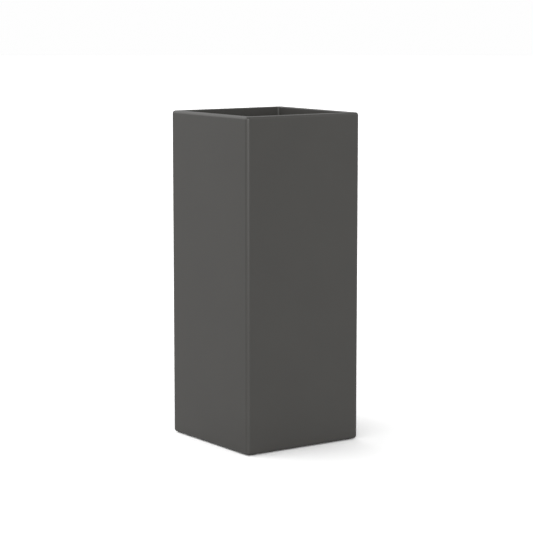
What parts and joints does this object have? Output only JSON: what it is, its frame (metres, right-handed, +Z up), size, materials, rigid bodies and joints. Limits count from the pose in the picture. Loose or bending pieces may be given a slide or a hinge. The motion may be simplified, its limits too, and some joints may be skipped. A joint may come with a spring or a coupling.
{
  "type": "tall square planter",
  "caption": "Tall square moulded fibreglass planter with a returned rim, a lift-out planting shelf on corner brackets, and a plugged floor drain over rubber feet.",
  "frame": {"origin": "on the floor, under the middle of the planter", "axes": "+Z up along the planter's height; -Y is the front face and +X the right face; the four faces are alike, so front and right are a choice"},
  "size_m": [0.312, 0.312, 0.762],
  "materials": {
    "shell_finish": "smooth matte charcoal gelcoat over glass-fibre laminate",
    "raw_laminate": "unpolished glass-fibre laminate, coated dark grey",
    "resin_bead": "smoothed filled-resin fillet",
    "core_wood": "plain softwood strip sealed in resin",
    "shelf_plastic": "fine-grained black plastic board",
    "drain_plastic": "moulded black plastic",
    "black_rubber": "moulded black rubber",
    "stainless_steel": "plain stainless steel"
  },
  "bodies": {
    "planter": {"base_core_back": "core_wood", "base_core_front": "core_wood", "base_core_left": "core_wood", "base_core_right": "core_wood", "drain_bush": "drain_plastic", "drain_gasket": "black_rubber", "drain_locknut": "drain_plastic", "floor_bead": "resin_bead", "floor_panel": "raw_laminate", "foot_back_left": "black_rubber", "foot_back_right": "black_rubber", "foot_front_left": "black_rubber", "foot_front_right": "black_rubber", "foot_screws": "stainless_steel", "foot_washers": "stainless_steel", "outer_shell": "shell_finish", "rim_core_back": "core_wood", "rim_core_front": "core_wood", "rim_core_left": "core_wood", "rim_core_right": "core_wood", "shelf_bracket_back_left": "raw_laminate", "shelf_bracket_back_right": "raw_laminate", "shelf_bracket_front_left": "raw_laminate", "shelf_bracket_front_right": "raw_laminate"},
    "shelf": {"planting_shelf": "shelf_plastic"},
    "plug": {"drain_plug": "black_rubber"}
  },
  "joints": [
    {"name": "shelf_lift", "type": "slide", "parent": "planter", "child": "shelf", "axis": [0, 0, 1], "range_m": [0, 0.33]},
    {"name": "plug_pull", "type": "slide", "parent": "planter", "child": "plug", "axis": [0, 0, 1], "range_m": [0, 0.06]}
  ]
}
